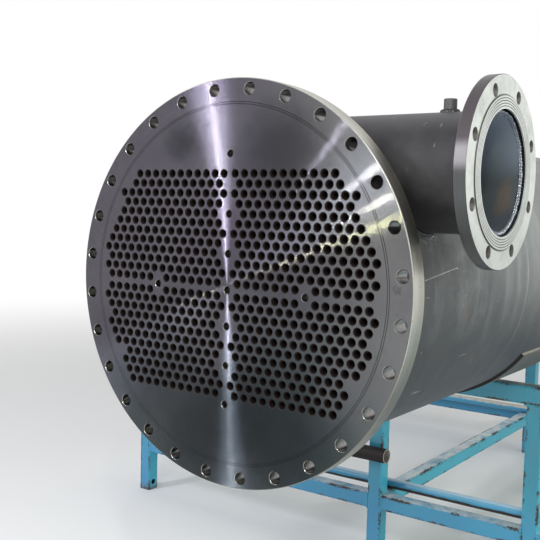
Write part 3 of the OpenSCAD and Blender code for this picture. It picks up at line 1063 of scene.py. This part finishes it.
def nozzle_steel():
    """Dark brown-grey pipe with pale scratches and a painted sheen on top, blue-grey inside with painted
    light on its upper part and a patch of rust.
    """
    coat = Finish("nozzle_steel", (0.024, 0.022, 0.025), 0.4, 0.5)
    side, rise, distance = coat.round_nozzle()
    cloud = coat.blobs(0.08, 5, 0.6)
    coat.cover(cloud.between(0.35, 0.7), (0.042, 0.039, 0.043))
    scratch = coat.blobs(0.016, 2, 0.5, (1, 1, 0.2)).between(0.7, 0.73) * 0.5
    start = (nozzle_face_x - 0.089, nozzle_y - 0.101, nozzle_z + 0.041)
    end = (nozzle_face_x - 0.089, nozzle_y - 0.074, nozzle_z + 0.081)
    coat.cover(scratch + coat.scratch(start, end, 0.0022) * 0.8, (0.25, 0.24, 0.23))
    # Painted highlight: a lighter sheen along the top of the pipe
    coat.cover(rise.between(0.06, 0.11) * 0.6, (0.13, 0.125, 0.135))
    depth = nozzle_face_x - 0.034 - coat.across
    gap = ((side + 0.092) ** 2 + (rise + 0.045) ** 2 * 0.5 + depth ** 2 * 4) ** 0.5
    rust = 1 - (gap + (coat.blobs(0.03, 5, 0.65) - 0.5) * 0.05).between(0.01, 0.045)
    # Painted light: the inside is lighter blue-grey above and dark below
    lining = coat.mix(rise.between(-0.02, 0.06), (0.08, 0.095, 0.115), (0.26, 0.31, 0.4))
    lining = coat.mix(rust * 0.5, lining, (0.2, 0.135, 0.095))
    coat.cover(distance < nozzle_r - nozzle_wall / 2, lining)
    normal = coat.bump(coat.blobs(0.003), 0.0003)
    return coat.done(Roughness=0.42 + cloud * 0.25, Normal=normal)


def flange_face():
    """Pale turned face of a flange, with painted shade in its grooves and a painted shadow round its
    raised face.
    """
    coat = Finish("flange_face", (0.68, 0.69, 0.69), 0.75, 0.45)
    rise, distance = coat.round_nozzle()[1:]
    stain = coat.blobs(0.05, 5, 0.65)
    grain = coat.blobs(0.004, 3, 0.6)
    coat.cover(stain.between(0.4, 0.75), (0.48, 0.49, 0.49))
    coat.cover(grain * 0.3, (0.36, 0.36, 0.34))
    coat.cover(rise.between(-0.02, -0.15) * 0.4, (0.36, 0.37, 0.36))
    # Painted shadow at the raised face's step and painted shade in its grooves
    step = 1 - abs(distance - raised_r - 0.0008).between(0.0008, 0.0022)
    groove = (distance - flange_bore_r) / groove_land
    whole = coat.math("ROUND", groove)
    inner = (whole > 0.5) * (whole < groove_count + 0.5)
    hollowed = abs(groove - whole) < groove_depth / groove_land
    coat.cover(step * 0.85 + hollowed * inner * 0.8, (0.07, 0.07, 0.065))
    return coat.done(Roughness=0.38 + stain * 0.2, Normal=coat.bump(grain, 0.0001))


def flange_edge():
    """Turned edge of a flange, bluish below with painted shade at the bottom, violet-grey above, with a
    painted highlight band.
    """
    coat = Finish("flange_edge", (0.09, 0.11, 0.115), 1.0, 0.3)
    rise = coat.round_nozzle()[1]
    stain = coat.blobs(0.05, 4, 0.6)
    coat.cover((rise + (stain - 0.5) * 0.05).between(-0.06, 0.05), (0.085, 0.07, 0.08))
    # Painted shade: near-black at the bottom of the edge
    coat.cover(rise.between(0.01, -0.09) * 0.85, (0.02, 0.02, 0.02))
    # Painted highlight: a bright band a little above the axis
    band = 1 - abs(rise - 0.022).between(0.008, 0.03)
    coat.cover(band * 0.55, (0.6, 0.58, 0.6))
    coat.cover(coat.lines(coat.across, 0.0015) * 0.35, (0.3, 0.29, 0.3))
    return coat.done(Roughness=0.26 + stain * 0.16)


def weld_steel(name, dark, light, roughness):
    """Mottled bead; on top of a nozzle the paler mottles are left out, a painted shade."""
    coat = Finish(name, dark, 0.8, roughness)
    rise = coat.round_nozzle()[1]
    # Painted shade: no paler mottles on top of a nozzle
    coat.cover(coat.blobs(0.01) * rise.between(0.1, 0.02), light)
    return coat.done()


def blue_paint():
    """Sky-blue paint, paler on top in patches, with painted light making the faces that look along X a
    brighter turquoise, small chips along its edges and rust at the feet.
    """
    coat = Finish("blue_paint", (0.06, 0.26, 0.46), 0.0, 0.4)
    wear = coat.attribute("wear")
    sideways, _, facing = coat.parts(coat.normal())
    shade = coat.blobs(0.3, 4)
    flake = coat.blobs(0.007, 5, 0.8)
    coat.cover(coat.up.between(0.1, 0.34), (0.04, 0.25, 0.36))
    # Painted light: faces looking along X are a brighter turquoise
    coat.cover(abs(sideways) + (shade - 0.5) * 0.6, (0.045, 0.39, 0.53))
    dirt = coat.blobs(0.05, 6, 0.7).between(0.5, 0.75) * 0.35
    coat.cover(dirt, (0.1, 0.24, 0.3))
    # Paler in patches on faces that look up
    pale_tops = facing.between(0.6, 0.95) * coat.blobs(0.06, 5, 0.7).between(0.3, 0.6)
    coat.cover(pale_tops * 0.75, (0.66, 0.68, 0.66))
    stain = (coat.blobs(0.025, 5, 0.7) + wear * 0.06).between(0.63, 0.72)
    coat.cover(stain * 0.5, (0.16, 0.13, 0.1))
    foot = 1 - (coat.up + flake * 0.03).between(0.015, 0.05)
    coat.cover(foot * 0.5, (0.18, 0.1, 0.06))
    patch = coat.blobs(0.08).between(0.4, 0.65)
    edge = wear * (patch * 0.17 + 0.055)
    chips = (flake + edge + patch * 0.03 + foot * 0.15).between(0.67, 0.69)
    coat.cover(chips, coat.mix(coat.blobs(0.01), (0.012, 0.01, 0.01), (0.09, 0.062, 0.048)))
    normal = coat.bump(1 - chips + shade * 0.5, 0.0003)
    return coat.done(Roughness=0.36 + chips * 0.4 + dirt * 0.3, Normal=normal)


def worn_rail(bare):
    """A painted round rail that has lost its paint underneath and carries a painted highlight along its
    top or, where bare, has lost its paint along its top.
    """
    coat = Finish("bare_rail" if bare else "worn_rail", (0.05, 0.27, 0.45), 0.0, 0.35)
    facing = coat.parts(coat.normal())[2]
    flake = coat.blobs(0.02, 5, 0.75)
    long_patch = coat.blobs(0.09, 4, 0.6, (0.4, 1, 1))
    coat.cover(coat.blobs(0.2, 4), (0.1, 0.38, 0.58))
    if bare:
        lost = (facing + (flake - 0.5) * 1.2 + (long_patch - 0.5) * 1.5).between(0.35, 0.45)
        steel = coat.mix(flake, (0.35, 0.33, 0.29), (0.72, 0.7, 0.64))
    else:
        # Painted highlight along the top of the rail
        coat.cover(facing.between(0.55, 0.85) * 0.7, (0.5, 0.64, 0.75))
        lost = (long_patch * 1.2 + flake * 0.5 - facing).between(0.95, 1.05)
        steel = coat.mix(flake, (0.015, 0.011, 0.01), (0.07, 0.045, 0.035))
    coat.cover(lost, steel)
    return coat.done(Roughness=0.32 + lost * 0.35, Normal=coat.bump(flake - lost, 0.0003))


def rusty_pipe():
    """Dark rusty pipe, whose sawn ends are pale."""
    coat = Finish("rusty_pipe", (0.006, 0.005, 0.005), 0.1, 0.6, 0.3)
    coat.cover(coat.blobs(0.05, 5), (0.02, 0.014, 0.012))
    coat.cover(coat.attribute("wear").between(0.4, 0.9), (0.36, 0.33, 0.3))
    return coat.done(Normal=coat.bump(coat.blobs(0.003, 4), 0.0004))


def pad_steel():
    """Grey-green plate with brown stains, its front and back faces painted near-black as shade, and a
    painted highlight on its top edges.
    """
    coat = Finish("pad_steel", (0.08, 0.085, 0.083), 0.3, 0.6)
    _, onward, facing = coat.parts(coat.normal())
    coat.cover(coat.blobs(0.06, 5).between(0.4, 0.7), (0.115, 0.105, 0.095))
    # Painted shadow: the front and back faces are near-black
    coat.cover(abs(onward) > 0.5, (0.012, 0.012, 0.013))
    # Painted highlight on the top edges
    coat.cover(facing > 0.3, (0.32, 0.3, 0.27))
    return coat.done(Normal=coat.bump(coat.blobs(0.004), 0.0003))


def seen_directly(graph):
    """1 for rays from the camera or through glass, a little less off metal, 0 for the rest."""
    camera = graph.node("ShaderNodeLightPath", {}, {}, "Is Camera Ray")
    return camera + camera.sibling("Is Glossy Ray") * 0.8 + camera.sibling("Is Transmission Ray")


def add_floor():
    """Pale floor that keeps the shadow near the object and fades to white further off."""
    coat = Finish("pale_floor", (0.88, 0.88, 0.88), 0.0, 0.9, 0.1)
    fade_start, fade_end, reach = 2.5, 8, 40
    far = coat.length(coat.place).between(fade_start, fade_end) * seen_directly(coat)
    glow = coat.node("ShaderNodeEmission", {}, {"Color": (1, 1, 1, 1), "Strength": 1})
    surface = Term(coat, coat.shader.outputs[0])
    faded = coat.node("ShaderNodeMixShader", {}, {0: far, 1: surface, 2: glow})
    coat.plug(coat.tree.nodes["Material Output"].inputs["Surface"], faded)
    corners = [(-reach, -reach, 0), (reach, -reach, 0), (reach, reach, 0), (-reach, reach, 0)]
    mesh = plain_mesh(corners, faces=[(0, 1, 2, 3)])
    mesh.materials.append(coat.done())
    link("floor", mesh)


def add_world():
    """White for the camera and for reflections, dimmer as a light."""
    world = bpy.data.worlds.new("studio")
    bpy.context.scene.world = world
    world.use_nodes = True
    graph = Graph(world.node_tree)
    background = world.node_tree.nodes["Background"]
    graph.plug(background.inputs["Strength"], 0.55 + seen_directly(graph) * 0.45)
    graph.plug(background.inputs["Color"], (1, 1, 1, 1))


def around(centre, distance, azimuth, elevation):
    """A point seen from a centre at an azimuth, from straight ahead of the face, and an elevation."""
    turn, lift = math.radians(azimuth), math.radians(elevation)
    level = distance * math.cos(lift)
    return centre + Vector((level * math.sin(turn), -level * math.cos(turn), distance * math.sin(lift)))


def add_lamps():
    """Small lamps that draw the fan and the streaks on the front face, and two large soft ones."""
    face = Vector((axis_x, front_y, axis_z))
    shell = face + Vector((0, 1.2, 0))
    distance = 4
    # Name, azimuth, elevation, roll, size, power and colour
    small = (
        ("strip", -49.7, 30, 34.6, (0.05, 1.6), 30, (1, 1, 1)),
        ("strip_glow", -49.7, 30, 34.6, (0.55, 1.6), 42, (0.84, 0.84, 1)),
        ("first_streak", 16, 57, 0, (0.11, 0.11), 9, (0.85, 0.85, 1)),
        ("second_streak", 36, 42, 0, (0.12, 0.12), 17, (1, 1, 1)),
        ("third_streak", 40, 31, 0, (0.11, 0.11), 20, (1, 1, 0.85)),
        ("yellow_streak", 28, 19, 0, (0.18, 0.18), 22, (1, 1, 0.5)),
    )
    for name, azimuth, elevation, roll, size, power, colour in small:
        place = around(face, distance, azimuth, elevation)
        add_lamp(name, place, face, size, power, colour, roll)
    add_lamp("front_fill", face + Vector((1.5, -5.0, 3.0)), face, (3, 3), 110, (0.82, 0.91, 1))
    add_lamp("side_window", face + Vector((5.5, 2.0, 2.0)), shell, (3, 3), 170, (0.93, 1, 0.88))


add_camera()
add_floor()
add_world()
add_lamps()

bore = drilled_steel()
paint = blue_paint()
nozzle_coats = {"pipe": nozzle_steel(), "face": flange_face(), "bore": bore, "edge": flange_edge()}
weld_coats = {
    # Near-black steel for the saddle beads: a painted shade
    "dark": weld_steel("dark_weld", (0.02, 0.02, 0.022), (0.08, 0.08, 0.085), 0.4),
    "dull": weld_steel("dull_weld", (0.06, 0.055, 0.055), (0.16, 0.15, 0.15), 0.35),
    "bright": weld_steel("bright_weld", (0.1, 0.11, 0.14), (0.3, 0.31, 0.35), 0.16),
}

plate = plate_recipe()
make_tubesheets(plate, turned_face(), bore, turned_rim())
make_tubes(drawn_tube())
nodes["tie_rods"].data.materials.clear()
nodes["tie_rods"].data.materials.append(bore)
make_shell(mill_scale())
for end, y in zip(("inlet", "outlet"), nozzle_rows):
    make_nozzle(end, y, plate, nozzle_coats)
bead = bead_recipe()
make_welds(bead, weld_coats)
make_stand(paint, {"front": worn_rail(False), "rear": worn_rail(True)}, rusty_pipe())
make_stand_welds(bead, paint)
dull_plate = pad_steel()
for end in ("front", "rear"):
    make_pad(end, dull_plate)

bpy.context.scene.view_settings.view_transform = "Standard"
